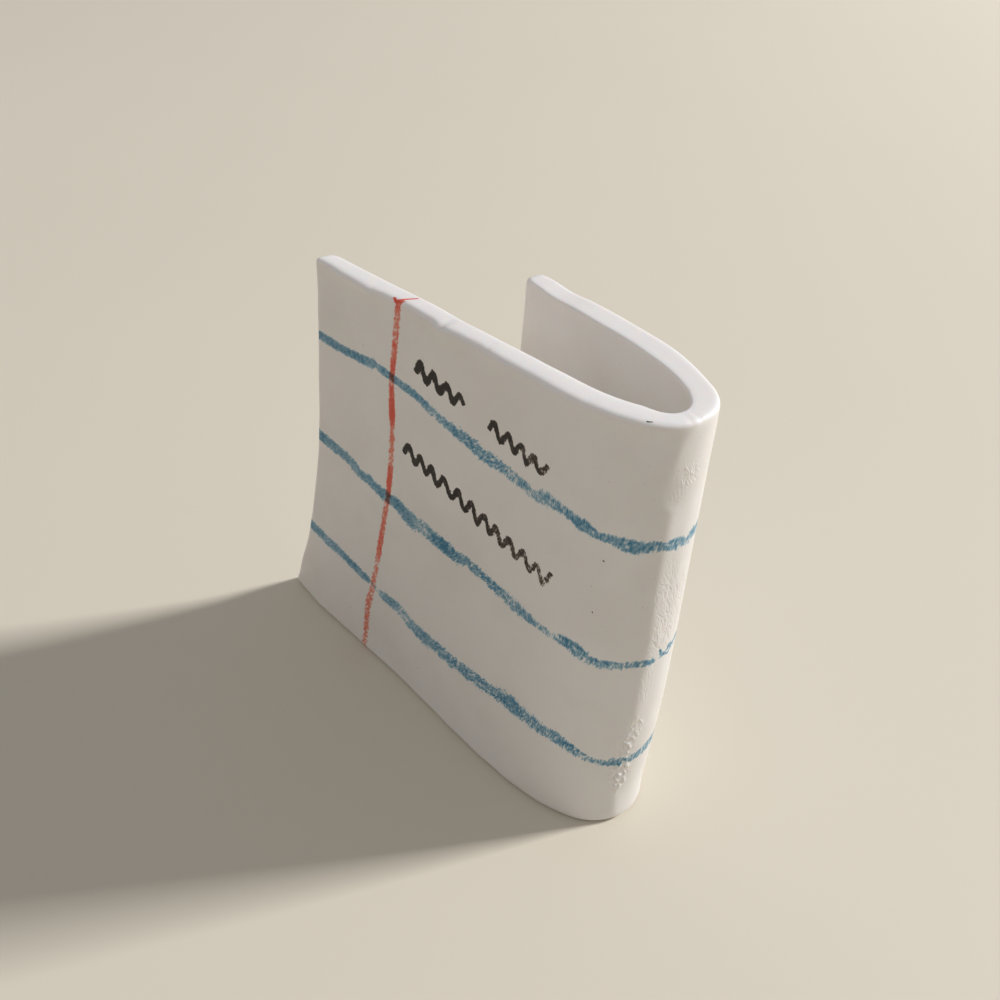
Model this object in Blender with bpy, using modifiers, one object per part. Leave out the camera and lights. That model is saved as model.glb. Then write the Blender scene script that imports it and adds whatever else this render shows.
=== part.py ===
"""Folded note: one thick sheet bent into a standing fold, with a long front leaf and a short back leaf.

The sheet stands on its foot, on the plane z = 0, with its fold at +X and its free ends toward -X.
The front leaf's outer face looks along -Y and the back leaf lies on the +Y side. The origin is at
the centre of the foot's bounding box. The sheet is made flat, as a grid, and then bent round the
fold, so every size below belongs either to the flat sheet or to the bend.
"""

from math import cos, log, pi, radians, sin

import bmesh
import bpy

# Flat sheet, in metres
SHEET_HEIGHT = 0.0350
SHEET_THICKNESS = 0.0018
EDGE_ROUND = 0.00055

# Leaves: straight lengths from the end of the fold to the free edge
FRONT_LEAF_FOOT_LENGTH = 0.03065
FRONT_LEAF_TOP_LENGTH = 0.02455
FRONT_EDGE_SWEEP_POWER = 2.25
BACK_LEAF_LENGTH = 0.0097

# Fold: the middle of the sheet follows a wide curve, a tight curve and a wider curve again
FRONT_EASING_RADIUS = 0.0117
FRONT_EASING_ANGLE = radians(27.0)
FOLD_RADIUS = 0.0033
BACK_EASING_RADIUS = 0.0241
BACK_EASING_ANGLE = radians(21.5)
LEAF_SPLAY_ANGLE = radians(2.5)

# The fold swells a little between its foot and its top
FOLD_SWELL = 0.0003
FOLD_SWELL_PEAK_HEIGHT = 0.0130

# Front leaf: its free top corner leans out, away from the back leaf
TOP_CORNER_LEAN = 0.00125
LEAN_POWER_ALONG = 1.5
LEAN_POWER_UP = 2.0

# Facets
FRONT_LEAF_COLUMNS = 16
FRONT_EASING_COLUMNS = 5
FOLD_COLUMNS = 20
BACK_EASING_COLUMNS = 6
BACK_LEAF_COLUMNS = 6
ROWS = 14
EDGE_ROUND_SEGMENTS = 3
SHARP_ANGLE = radians(40.0)

SHEET_COLOUR = (0.80, 0.77, 0.73, 1.0)
SHEET_ROUGHNESS = 0.45


def clear_scene():
    """Remove every object, so that the script gives the same result each time it runs."""
    for item in list(bpy.data.objects):
        bpy.data.objects.remove(item, do_unlink=True)


def make_material(name, colour, roughness):
    """Return a Principled BSDF material of one colour and roughness."""
    material = bpy.data.materials.new(name)
    material.use_nodes = True
    shader = material.node_tree.nodes["Principled BSDF"]
    shader.inputs["Base Color"].default_value = colour
    shader.inputs["Roughness"].default_value = roughness
    shader.inputs["Metallic"].default_value = 0.0
    return material


def fold_pieces():
    """Return the radius and the angle of each curve of the fold, from the front leaf to the back."""
    whole_turn = pi - LEAF_SPLAY_ANGLE
    tight_turn = whole_turn - FRONT_EASING_ANGLE - BACK_EASING_ANGLE
    return (
        (FRONT_EASING_RADIUS, FRONT_EASING_ANGLE),
        (FOLD_RADIUS, tight_turn),
        (BACK_EASING_RADIUS, BACK_EASING_ANGLE),
    )


def bend(distance):
    """Return the plan point and heading at a distance along the middle of the sheet.

    The distance is 0 where the front leaf meets the fold, less than 0 on the front leaf, and
    more than the fold's length on the back leaf. The front leaf runs along +X.
    """
    if distance <= 0.0:
        return distance, 0.0, 0.0
    x, y, heading = 0.0, 0.0, 0.0
    left = distance
    for radius, angle in fold_pieces():
        turn = min(left / radius, angle)
        x += radius * (sin(heading + turn) - sin(heading))
        y += radius * (cos(heading) - cos(heading + turn))
        heading += turn
        left -= radius * turn
        if turn < angle:
            return x, y, heading
    return x + left * cos(heading), y + left * sin(heading), heading


def front_leaf_length(height):
    """Return how far the front leaf reaches at a height: its free edge sweeps out to the foot."""
    above = 1.0 - height / SHEET_HEIGHT
    sweep = FRONT_LEAF_FOOT_LENGTH - FRONT_LEAF_TOP_LENGTH
    return FRONT_LEAF_TOP_LENGTH + sweep * above ** FRONT_EDGE_SWEEP_POWER


def rise_above_foot(height):
    """Return how far up a height lies, from 0 at the top of the lowest row to 1 at the top edge.

    The lowest row stays upright, so the foot stays flat on the plane that it stands on.
    """
    upright = SHEET_HEIGHT / ROWS
    return max(0.0, (height - upright) / (SHEET_HEIGHT - upright))


def front_leaf_lean(along, height):
    """Return how far the front leaf leans out, at a distance from the fold and a height."""
    reach = max(0.0, along) / FRONT_LEAF_TOP_LENGTH
    return TOP_CORNER_LEAN * reach ** LEAN_POWER_ALONG * rise_above_foot(height) ** LEAN_POWER_UP


def fold_swell(heading, height):
    """Return how far the fold swells out at a heading and a height: nothing at the foot and top."""
    power = log(0.5) / log(rise_above_foot(FOLD_SWELL_PEAK_HEIGHT))
    rise = rise_above_foot(height) ** power
    return FOLD_SWELL * sin(heading) ** 2 * sin(pi * rise) ** 2


def column_position(column, height):
    """Return the distance along the sheet of one column of the grid, at a height."""
    if column <= FRONT_LEAF_COLUMNS:
        share = 1.0 - column / FRONT_LEAF_COLUMNS
        return -share * front_leaf_length(height)
    column -= FRONT_LEAF_COLUMNS
    start = 0.0
    counts = (FRONT_EASING_COLUMNS, FOLD_COLUMNS, BACK_EASING_COLUMNS)
    for count, (radius, angle) in zip(counts, fold_pieces()):
        if column <= count:
            return start + radius * angle * column / count
        column -= count
        start += radius * angle
    return start + BACK_LEAF_LENGTH * column / BACK_LEAF_COLUMNS


def make_sheet_surface():
    """Return a mesh of the sheet's middle surface: a flat grid, bent round the fold."""
    columns = (
        FRONT_LEAF_COLUMNS
        + FRONT_EASING_COLUMNS
        + FOLD_COLUMNS
        + BACK_EASING_COLUMNS
        + BACK_LEAF_COLUMNS
    )
    grid = bmesh.new()
    bmesh.ops.create_grid(grid, x_segments=columns, y_segments=ROWS, size=0.5)
    for vertex in grid.verts:
        column = round((vertex.co.x + 0.5) * columns)
        row = round((vertex.co.y + 0.5) * ROWS)
        height = SHEET_HEIGHT * row / ROWS
        distance = column_position(column, height)
        x, y, heading = bend(distance)
        swell = fold_swell(heading, height)
        x += swell * sin(heading)
        y -= swell * cos(heading) + front_leaf_lean(-distance, height)
        vertex.co = (x, y, height)
    bmesh.ops.recalc_face_normals(grid, faces=grid.faces)
    faces = sorted(grid.faces, key=lambda face: face.calc_center_median().y)
    if faces[0].normal.y > 0.0:
        bmesh.ops.reverse_faces(grid, faces=grid.faces)
    mesh = bpy.data.meshes.new("note_sheet")
    grid.to_mesh(mesh)
    grid.free()
    mesh.shade_smooth()
    mesh.set_sharp_from_angle(angle=SHARP_ANGLE)
    return mesh


def centre_on_foot(sheet):
    """Move the mesh so that the finished sheet's bounding box is centred on the origin."""
    bpy.context.view_layer.update()
    finished = sheet.evaluated_get(bpy.context.evaluated_depsgraph_get())
    points = [vertex.co for vertex in finished.data.vertices]
    for axis in (0, 1):
        values = [point[axis] for point in points]
        middle = (min(values) + max(values)) / 2.0
        for vertex in sheet.data.vertices:
            vertex.co[axis] -= middle
    sheet.data.update()


def build():
    """Build the folded sheet in its own collection."""
    clear_scene()
    collection = bpy.data.collections.new("folded_note")
    bpy.context.scene.collection.children.link(collection)

    sheet = bpy.data.objects.new("note_sheet", make_sheet_surface())
    collection.objects.link(sheet)
    sheet.data.materials.append(make_material("sheet", SHEET_COLOUR, SHEET_ROUGHNESS))

    shell = sheet.modifiers.new("thickness", "SOLIDIFY")
    shell.thickness = SHEET_THICKNESS
    shell.offset = 0.0
    shell.use_even_offset = True
    shell.use_rim = True

    edges = sheet.modifiers.new("rounded_edges", "BEVEL")
    edges.width = EDGE_ROUND
    edges.segments = EDGE_ROUND_SEGMENTS
    edges.limit_method = "ANGLE"
    edges.angle_limit = SHARP_ANGLE

    centre_on_foot(sheet)


build()
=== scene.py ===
"""Visual model of a folded note: one thick white sheet, bent by hand into a standing fold.

The sheet is made flat, with its edges rounded, and Geometry Nodes bend it round the fold, work its
skin by hand and lay the ruled lines on it. Every length is in metres, and the part's frame is the
CAD model's: the foot is on z = 0, the fold points to +X and the front leaf looks along -Y.
"""

import logging  # noqa: E402
import math  # noqa: E402
import random  # noqa: E402
from dataclasses import dataclass, field  # noqa: E402
from enum import Enum  # noqa: E402
from typing import Any, Callable, Iterator, Mapping, Sequence, Union  # noqa: E402

import bpy  # noqa: E402
from mathutils import Matrix, Vector  # noqa: E402


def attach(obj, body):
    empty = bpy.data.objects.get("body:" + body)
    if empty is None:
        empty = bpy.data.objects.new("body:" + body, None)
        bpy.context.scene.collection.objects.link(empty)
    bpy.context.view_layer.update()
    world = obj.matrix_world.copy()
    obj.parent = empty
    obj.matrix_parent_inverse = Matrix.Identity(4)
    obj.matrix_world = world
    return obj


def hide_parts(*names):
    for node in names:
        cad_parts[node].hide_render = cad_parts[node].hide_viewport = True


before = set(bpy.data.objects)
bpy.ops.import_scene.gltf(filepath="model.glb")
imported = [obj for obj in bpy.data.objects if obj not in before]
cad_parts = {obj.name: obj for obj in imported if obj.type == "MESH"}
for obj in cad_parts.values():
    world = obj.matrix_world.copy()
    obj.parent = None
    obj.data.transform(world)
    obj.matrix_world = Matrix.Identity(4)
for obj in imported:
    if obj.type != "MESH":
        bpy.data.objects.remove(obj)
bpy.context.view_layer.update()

logger = logging.getLogger("folded_note")

MM = 0.001
CAD_NODE = "note_sheet"
CAD_BODY = "root"

# Attributes and the UV map that the sheet carries
PLACE_ATTRIBUTE = "place_on_sheet"
PRESSURE_ATTRIBUTE = "pencil_pressure"
TANGENT_ATTRIBUTE = "stroke_tangent"
UV_MAP = "OFBake"

# How far through the sheet a point lies, from 1 on the outer face to -1 on the inner: below this
# it is on the inner face, which has no marks
INNER_FACE = -0.95

# Noise goes from 0 to 1, about this middle
NOISE_MIDDLE = 0.5

Colour = tuple[float, float, float]


# ---- Node trees written as Python expressions ----


def math_operator(operation: str, reflected: bool = False) -> Callable[..., "Signal"]:
    """Return the method of one of Python's operators, which adds a Math node.

    Args:
        operation: the node's operation.
        reflected: whether the signal stands to the right of the operator.

    Returns:
        The method.
    """

    def method(self: "Signal", other: "Operand") -> "Signal":
        """Return the result of the operation."""
        return self.math(operation, *((other, self) if reflected else (self, other)))

    return method


class Signal:
    """One output socket. Python's operators on it add Math nodes to its tree."""

    __add__ = math_operator("ADD")
    __radd__ = math_operator("ADD", reflected=True)
    __sub__ = math_operator("SUBTRACT")
    __rsub__ = math_operator("SUBTRACT", reflected=True)
    __mul__ = math_operator("MULTIPLY")
    __rmul__ = math_operator("MULTIPLY", reflected=True)
    __truediv__ = math_operator("DIVIDE")
    __rtruediv__ = math_operator("DIVIDE", reflected=True)
    __pow__ = math_operator("POWER")
    __gt__ = math_operator("GREATER_THAN")
    __lt__ = math_operator("LESS_THAN")

    def __init__(self, graph: "NodeGraph", socket: bpy.types.NodeSocket) -> None:
        """Keep the socket and the graph that it belongs to."""
        self.graph = graph
        self.socket = socket

    def math(self, operation: str, *operands: "Operand") -> "Signal":
        """Add one Math node.

        Args:
            operation: the node's operation.
            operands: the values or signals of its sockets, in order.

        Returns:
            The node's result.
        """
        return self.graph.add(
            "ShaderNodeMath", {"operation": operation}, dict(enumerate(operands))
        )

    def __abs__(self) -> "Signal":
        """Return the signal without its sign."""
        return self.math("ABSOLUTE", self)

    def sine(self) -> "Signal":
        """Return the sine of an angle."""
        return self.math("SINE", self)

    def cosine(self) -> "Signal":
        """Return the cosine of an angle."""
        return self.math("COSINE", self)

    def at_least(self, low: "Operand") -> "Signal":
        """Return the greater of the signal and low."""
        return self.math("MAXIMUM", self, low)

    def at_most(self, high: "Operand") -> "Signal":
        """Return the lesser of the signal and high."""
        return self.math("MINIMUM", self, high)

    def ramp(self, low: "Operand", high: "Operand") -> "Signal":
        """Return a smooth rise from 0 where the signal is low to 1 where it is high.

        Args:
            low: where the rise starts.
            high: where it ends. It may be less than low, and the ramp then falls.

        Returns:
            The ramp.
        """
        return self.graph.add(
            "ShaderNodeMapRange",
            {"interpolation_type": "SMOOTHSTEP"},
            {"Value": self, "From Min": low, "From Max": high},
        )


Operand = Union[Signal, float, int]


class NodeGraph:
    """Adds nodes to one tree, of shader nodes or of geometry nodes."""

    def __init__(self, tree: bpy.types.NodeTree) -> None:
        """Keep the tree."""
        self.tree = tree

    @staticmethod
    def find(sockets: Sequence[bpy.types.NodeSocket], key: str | int) -> bpy.types.NodeSocket:
        """Return the socket at a place, or with an identifier or a name.

        Args:
            sockets: a node's inputs or outputs.
            key: the socket's place, its identifier, or its name among those in use.

        Returns:
            The socket.
        """
        if isinstance(key, int):
            return sockets[key]
        for socket in sockets:
            if socket.enabled and key in (socket.identifier, socket.name):
                return socket
        raise KeyError(f"no socket {key}")

    def add(
        self,
        kind: str,
        settings: Mapping[str, Any] | None = None,
        inputs: Mapping[str | int, Any] | None = None,
        output: str | int = 0,
    ) -> Signal:
        """Add one node of any kind.

        Args:
            kind: the node's type.
            settings: its properties, which are set first.
            inputs: a value or a signal for each socket that is given.
            output: which output is wanted.

        Returns:
            The wanted output, or the first input of a node that has no outputs.
        """
        node = self.tree.nodes.new(kind)
        for name, value in (settings or {}).items():
            setattr(node, name, value)
        for key, value in (inputs or {}).items():
            socket = self.find(node.inputs, key)
            if isinstance(value, Signal):
                self.tree.links.new(value.socket, socket)
            else:
                socket.default_value = value
        return Signal(self, self.find(node.outputs, output) if node.outputs else node.inputs[0])

    def sibling(self, signal: Signal, output: str) -> Signal:
        """Return another output of the node that a signal comes from."""
        return Signal(self, self.find(signal.socket.node.outputs, output))

    def vector(self, x: Operand, y: Operand, z: Operand) -> Signal:
        """Return a vector of three numbers."""
        return self.add("ShaderNodeCombineXYZ", inputs={0: x, 1: y, 2: z})

    def split(self, vector: Signal) -> tuple[Signal, Signal, Signal]:
        """Return the three numbers of a vector."""
        node = self.add("ShaderNodeSeparateXYZ", inputs={0: vector}).socket.node
        return tuple(Signal(self, output) for output in node.outputs)

    def vector_math(self, operation: str, *operands: Any, output: str | int = "Vector") -> Signal:
        """Return the result of one Vector Math node."""
        return self.add(
            "ShaderNodeVectorMath", {"operation": operation}, dict(enumerate(operands)), output
        )

    def noise(self, place: Signal, size: Operand, seed: Operand, detail: float = 2.0) -> Signal:
        """Return smooth noise from 0 to 1.

        Args:
            place: where it is read, in metres.
            size: the size of its waves, in metres.
            seed: which noise it is.
            detail: how many finer layers it has.

        Returns:
            The noise.
        """
        return self.add(
            "ShaderNodeTexNoise",
            {"noise_dimensions": "4D"},
            {"Vector": place, "W": seed, "Scale": 1.0 / size, "Detail": detail},
        )

    def attribute(self, name: str) -> Signal:
        """Read a vector that the mesh carries, in a material."""
        return self.add(
            "ShaderNodeAttribute",
            {"attribute_type": "GEOMETRY", "attribute_name": name},
            output="Vector",
        )

    def mix(
        self, share: Operand, first: "Signal | Colour", second: "Signal | Colour", way: str = "MIX"
    ) -> Signal:
        """Return a mix of two colours.

        Args:
            share: how much the second colour counts, from 0 to 1.
            first: the colour that it starts from.
            second: the colour that is mixed in.
            way: the node's way of mixing.

        Returns:
            The mixed colour.
        """
        colours = [
            colour if isinstance(colour, Signal) else (*colour, 1.0) for colour in (first, second)
        ]
        return self.add(
            "ShaderNodeMix",
            {"data_type": "RGBA", "blend_type": way},
            {"Factor_Float": share, "A_Color": colours[0], "B_Color": colours[1]},
            output="Result_Color",
        )

    def stretched(self, along: Operand, across: Operand, lengths: tuple[float, float]) -> Signal:
        """Return a place measured in grains of one length and one width.

        Args:
            along: the distance along the grain.
            across: the distance across it.
            lengths: a grain's length and width.

        Returns:
            The place, for noise of one wave in a unit.
        """
        length, width = lengths
        return self.vector(along * (1.0 / length), across * (1.0 / width), 0.0)


class GeometryTree(NodeGraph):
    """A Geometry Nodes tree with named inputs that ends in Realize Instances and Set Material."""

    def __init__(self, name: str) -> None:
        """Make the tree with its geometry and material sockets.

        Args:
            name: the tree's name.
        """
        super().__init__(bpy.data.node_groups.new(name, "GeometryNodeTree"))
        self._entry = self.tree.nodes.new("NodeGroupInput")
        self.geometry = self.input("Geometry", "NodeSocketGeometry")
        self.material = self.input("Material", "NodeSocketMaterial")
        self.tree.interface.new_socket(
            "Geometry", in_out="OUTPUT", socket_type="NodeSocketGeometry"
        )

    def input(self, name: str, kind: str, default: Any = None) -> Signal:
        """Add a named input.

        Args:
            name: the input's name.
            kind: its socket's type.
            default: its value where the modifier gives none.

        Returns:
            The input, as a signal.
        """
        socket = self.tree.interface.new_socket(name, in_out="INPUT", socket_type=kind)
        if default is not None:
            socket.default_value = default
        return Signal(self, self._entry.outputs[name])

    def number(self, name: str, default: float) -> Signal:
        """Add a named number, such as a length or an angle."""
        return self.input(name, "NodeSocketFloat", default)

    def store(self, geometry: Signal, name: Any, kind: str, value: Signal) -> Signal:
        """Store a value at each point of the geometry, as a named attribute."""
        return self.add(
            "GeometryNodeStoreNamedAttribute",
            {"data_type": kind, "domain": "POINT"},
            {"Geometry": geometry, "Name": name, "Value": value},
        )

    def read(self, name: str, kind: str) -> Signal:
        """Read a named attribute."""
        return self.add("GeometryNodeInputNamedAttribute", {"data_type": kind}, {"Name": name})

    def end(self, geometry: Signal) -> None:
        """End the tree: the geometry is realized, gets its material and goes out.

        Args:
            geometry: the finished geometry.
        """
        whole = self.add("GeometryNodeRealizeInstances", inputs={"Geometry": geometry})
        dressed = self.add(
            "GeometryNodeSetMaterial", inputs={"Geometry": whole, "Material": self.material}
        )
        self.add("NodeGroupOutput", inputs={"Geometry": dressed})

    def put_on(self, piece: bpy.types.Object, values: Mapping[str, Any]) -> None:
        """Put the tree on an object as a modifier.

        Args:
            piece: the object.
            values: the inputs that differ from their defaults, by name.
        """
        modifier = piece.modifiers.new(self.tree.name, "NODES")
        modifier.node_group = self.tree
        for item in self.tree.interface.items_tree:
            if item.item_type == "SOCKET" and item.in_out == "INPUT" and item.name in values:
                modifier[item.identifier] = values[item.name]


def empty_graph(owner: bpy.types.Material | bpy.types.World) -> NodeGraph:
    """Give a material or a world an empty node tree.

    Args:
        owner: the material or the world.

    Returns:
        The tree's graph.
    """
    owner.use_nodes = True
    owner.node_tree.nodes.clear()
    return NodeGraph(owner.node_tree)


def put_in_scene(name: str, data: bpy.types.ID) -> bpy.types.Object:
    """Put a mesh, a curve, a lamp or a camera in the scene.

    Args:
        name: the object's name.
        data: what it shows.

    Returns:
        The object.
    """
    holder = bpy.data.objects.new(name, data)
    bpy.context.scene.collection.objects.link(holder)
    return holder


def apply_trees(piece: bpy.types.Object) -> None:
    """Turn an object with its Geometry Nodes modifiers into a plain mesh.

    Args:
        piece: the object.
    """
    bpy.context.view_layer.update()
    evaluated_from = bpy.context.evaluated_depsgraph_get()
    mesh = bpy.data.meshes.new_from_object(
        piece.evaluated_get(evaluated_from), preserve_all_data_layers=True, depsgraph=evaluated_from
    )
    piece.modifiers.clear()
    flat_mesh = piece.data
    piece.data = mesh
    mesh.name = piece.name
    bpy.data.meshes.remove(flat_mesh)


# ---- Sizes ----


Table = tuple[tuple[float, float], ...]


def in_mm(*rows: tuple[float, float]) -> Table:
    """Return a table of places and lengths that are given in millimetres."""
    return tuple((place * MM, value * MM) for place, value in rows)


def clamped(value: float) -> float:
    """Return a value held between 0 and 1."""
    return min(1.0, max(0.0, value))


def smooth(share: float) -> float:
    """Return a share from 0 to 1 with its ends eased."""
    return share * share * (3.0 - 2.0 * share)


def interpolate(table: Table, at: float) -> float:
    """Return the value of a table at a place, with smooth steps between its rows.

    Args:
        table: rows of a place and a value, in the order of their places.
        at: where the value is wanted.

    Returns:
        The value.
    """
    if at <= table[0][0]:
        return table[0][1]
    for (start, first), (end, last) in zip(table, table[1:]):
        if at <= end:
            return first + (last - first) * smooth((at - start) / (end - start))
    return table[-1][1]


@dataclass(frozen=True)
class Arc:
    """One curve of the fold, as the middle of the sheet follows it."""

    name: str
    radius: float
    angle: float

    @property
    def length(self) -> float:
        """Return the curve's length."""
        return self.radius * self.angle


@dataclass(frozen=True)
class SheetSizes:
    """The sheet's sizes, flat and bent.

    The front end's pulls say how far the free edge is pulled in at each height.
    """

    height: float = 35.02 * MM
    thickness: float = 1.8 * MM
    foot_corner_round: float = 0.65 * MM
    top_corner_round: float = 0.35 * MM

    front_leaf_foot: float = 30.65 * MM
    front_leaf_top: float = 24.60 * MM
    sweep_power: float = 2.25
    front_corner_pull: float = 0.38 * MM
    front_corner_height: float = 7.0 * MM
    front_end_pulls: Table = in_mm(
        (2.5, 0.0), (6.8, 0.27), (9.8, 0.20), (13.0, 0.12), (16.5, 0.11), (20.0, 0.0),
        (24.5, -0.15), (29.5, -0.03), (32.0, 0.03), (35.0, 0.15),
    )
    back_leaf: float = 9.7 * MM
    back_corner_pull: float = 0.09 * MM
    back_corner_height: float = 6.0 * MM

    front_easing: Arc = Arc("Front easing", 11.7 * MM, math.radians(27.0))
    tight_fold: Arc = Arc("Tight fold", 3.3 * MM, math.radians(129.0))
    back_easing: Arc = Arc("Back easing", 24.1 * MM, math.radians(21.5))

    fold_start_x: float = 11.086 * MM
    fold_start_y: float = -4.263 * MM

    swell: float = 0.32 * MM
    swell_peak: float = 13.0 * MM
    swell_held: tuple[float, float] = (math.radians(80.0), math.radians(112.0))
    upright_foot: float = 2.5 * MM
    corner_lean: float = 1.25 * MM
    lean_power_along: float = 1.5
    lean_power_up: float = 2.0

    @property
    def arcs(self) -> tuple[Arc, Arc, Arc]:
        """Return the fold's curves, from the front leaf to the back."""
        return self.front_easing, self.tight_fold, self.back_easing

    @property
    def fold_length(self) -> float:
        """Return the length of the fold along the middle of the sheet."""
        return sum(arc.length for arc in self.arcs)

    @property
    def swell_power(self) -> float:
        """Return the power that puts the swell's middle at its height."""
        rise = (self.swell_peak - self.upright_foot) / (self.height - self.upright_foot)
        return math.log(0.5) / math.log(rise)

    def near_top(self, height: float, reach: float) -> float:
        """Return how near to the top a height is: 1 at the top, and 0 from a reach below it."""
        return max(0.0, 1.0 - (self.height - height) / reach)

    def front_reach(self, height: float) -> float:
        """Return how far the front leaf reaches at a height: its free edge sweeps to the foot.

        Args:
            height: the height above the foot.

        Returns:
            The length from the fold to the free edge.
        """
        above = clamped(1.0 - height / self.height)
        sweep = self.front_leaf_foot - self.front_leaf_top
        pull = self.front_corner_pull * self.near_top(height, self.front_corner_height) ** 2
        pull += interpolate(self.front_end_pulls, height)
        return self.front_leaf_top + sweep * above**self.sweep_power - pull

    def back_reach(self, height: float) -> float:
        """Return how far the back leaf reaches at a height.

        Its top corner is pulled in a little.
        """
        near_top = self.near_top(height, self.back_corner_height)
        return self.back_leaf - self.back_corner_pull * near_top**2


@dataclass(frozen=True)
class Dent:
    """A small dent in the sheet's top edge."""

    along: float
    depth: float
    width: float


# ---- The flat sheet ----


@dataclass(frozen=True)
class Column:
    """One upright line of the flat sheet's grid.

    Its distance along the sheet is fixed in the fold, and a share of the leaf's reach in a leaf.
    """

    front_share: float
    distance: float
    back_share: float


@dataclass(frozen=True)
class EdgeRound:
    """How round the sheet's edge is, toward its outer face and toward its inner face."""

    outer: float
    inner: float

    def toward(self, other: "EdgeRound", share: float) -> "EdgeRound":
        """Return an edge that is this one at share 0 and the other at share 1, or more."""
        share = smooth(clamped(share))
        return EdgeRound(
            self.outer + share * (other.outer - self.outer),
            self.inner + share * (other.inner - self.inner),
        )


@dataclass(frozen=True)
class RimRing:
    """One ring of points round the sheet's edge.

    The rings go from the outer face, at turn 0, to the inner face, at half a circle. The flat
    share is how far the ring is along the flat part of the edge, from 0 to 1.
    """

    turn: float
    flat_share: float

    def inset(self, edge: EdgeRound) -> float:
        """Return how far the ring lies inside the sheet's outline."""
        radius = edge.outer if self.flat_share < 0.5 else edge.inner
        return radius * (1.0 - math.sin(self.turn))

    def outward(self, edge: EdgeRound, half: float) -> float:
        """Return how far the ring lies outside the middle of the sheet.

        Args:
            edge: the round of the edge there.
            half: half the sheet's thickness.

        Returns:
            The distance, less than 0 toward the inner face.
        """
        level = (half - edge.outer) * (1.0 - self.flat_share)
        level -= (half - edge.inner) * self.flat_share
        radius = edge.outer if self.flat_share < 0.5 else edge.inner
        return level + radius * math.cos(self.turn)

    def unrolled_inset(self, edge: EdgeRound, half: float) -> float:
        """Return the ring's inset once the edge is unrolled into the plane of the outer face.

        Args:
            edge: the round of the edge there.
            half: half the sheet's thickness.

        Returns:
            The inset, less than 0 outside the outline.
        """
        first_turn = min(self.turn, math.pi / 2.0)
        flat = (2.0 * half - edge.outer - edge.inner) * self.flat_share
        run = edge.outer * first_turn + flat + edge.inner * (self.turn - first_turn)
        return edge.outer - run


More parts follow.
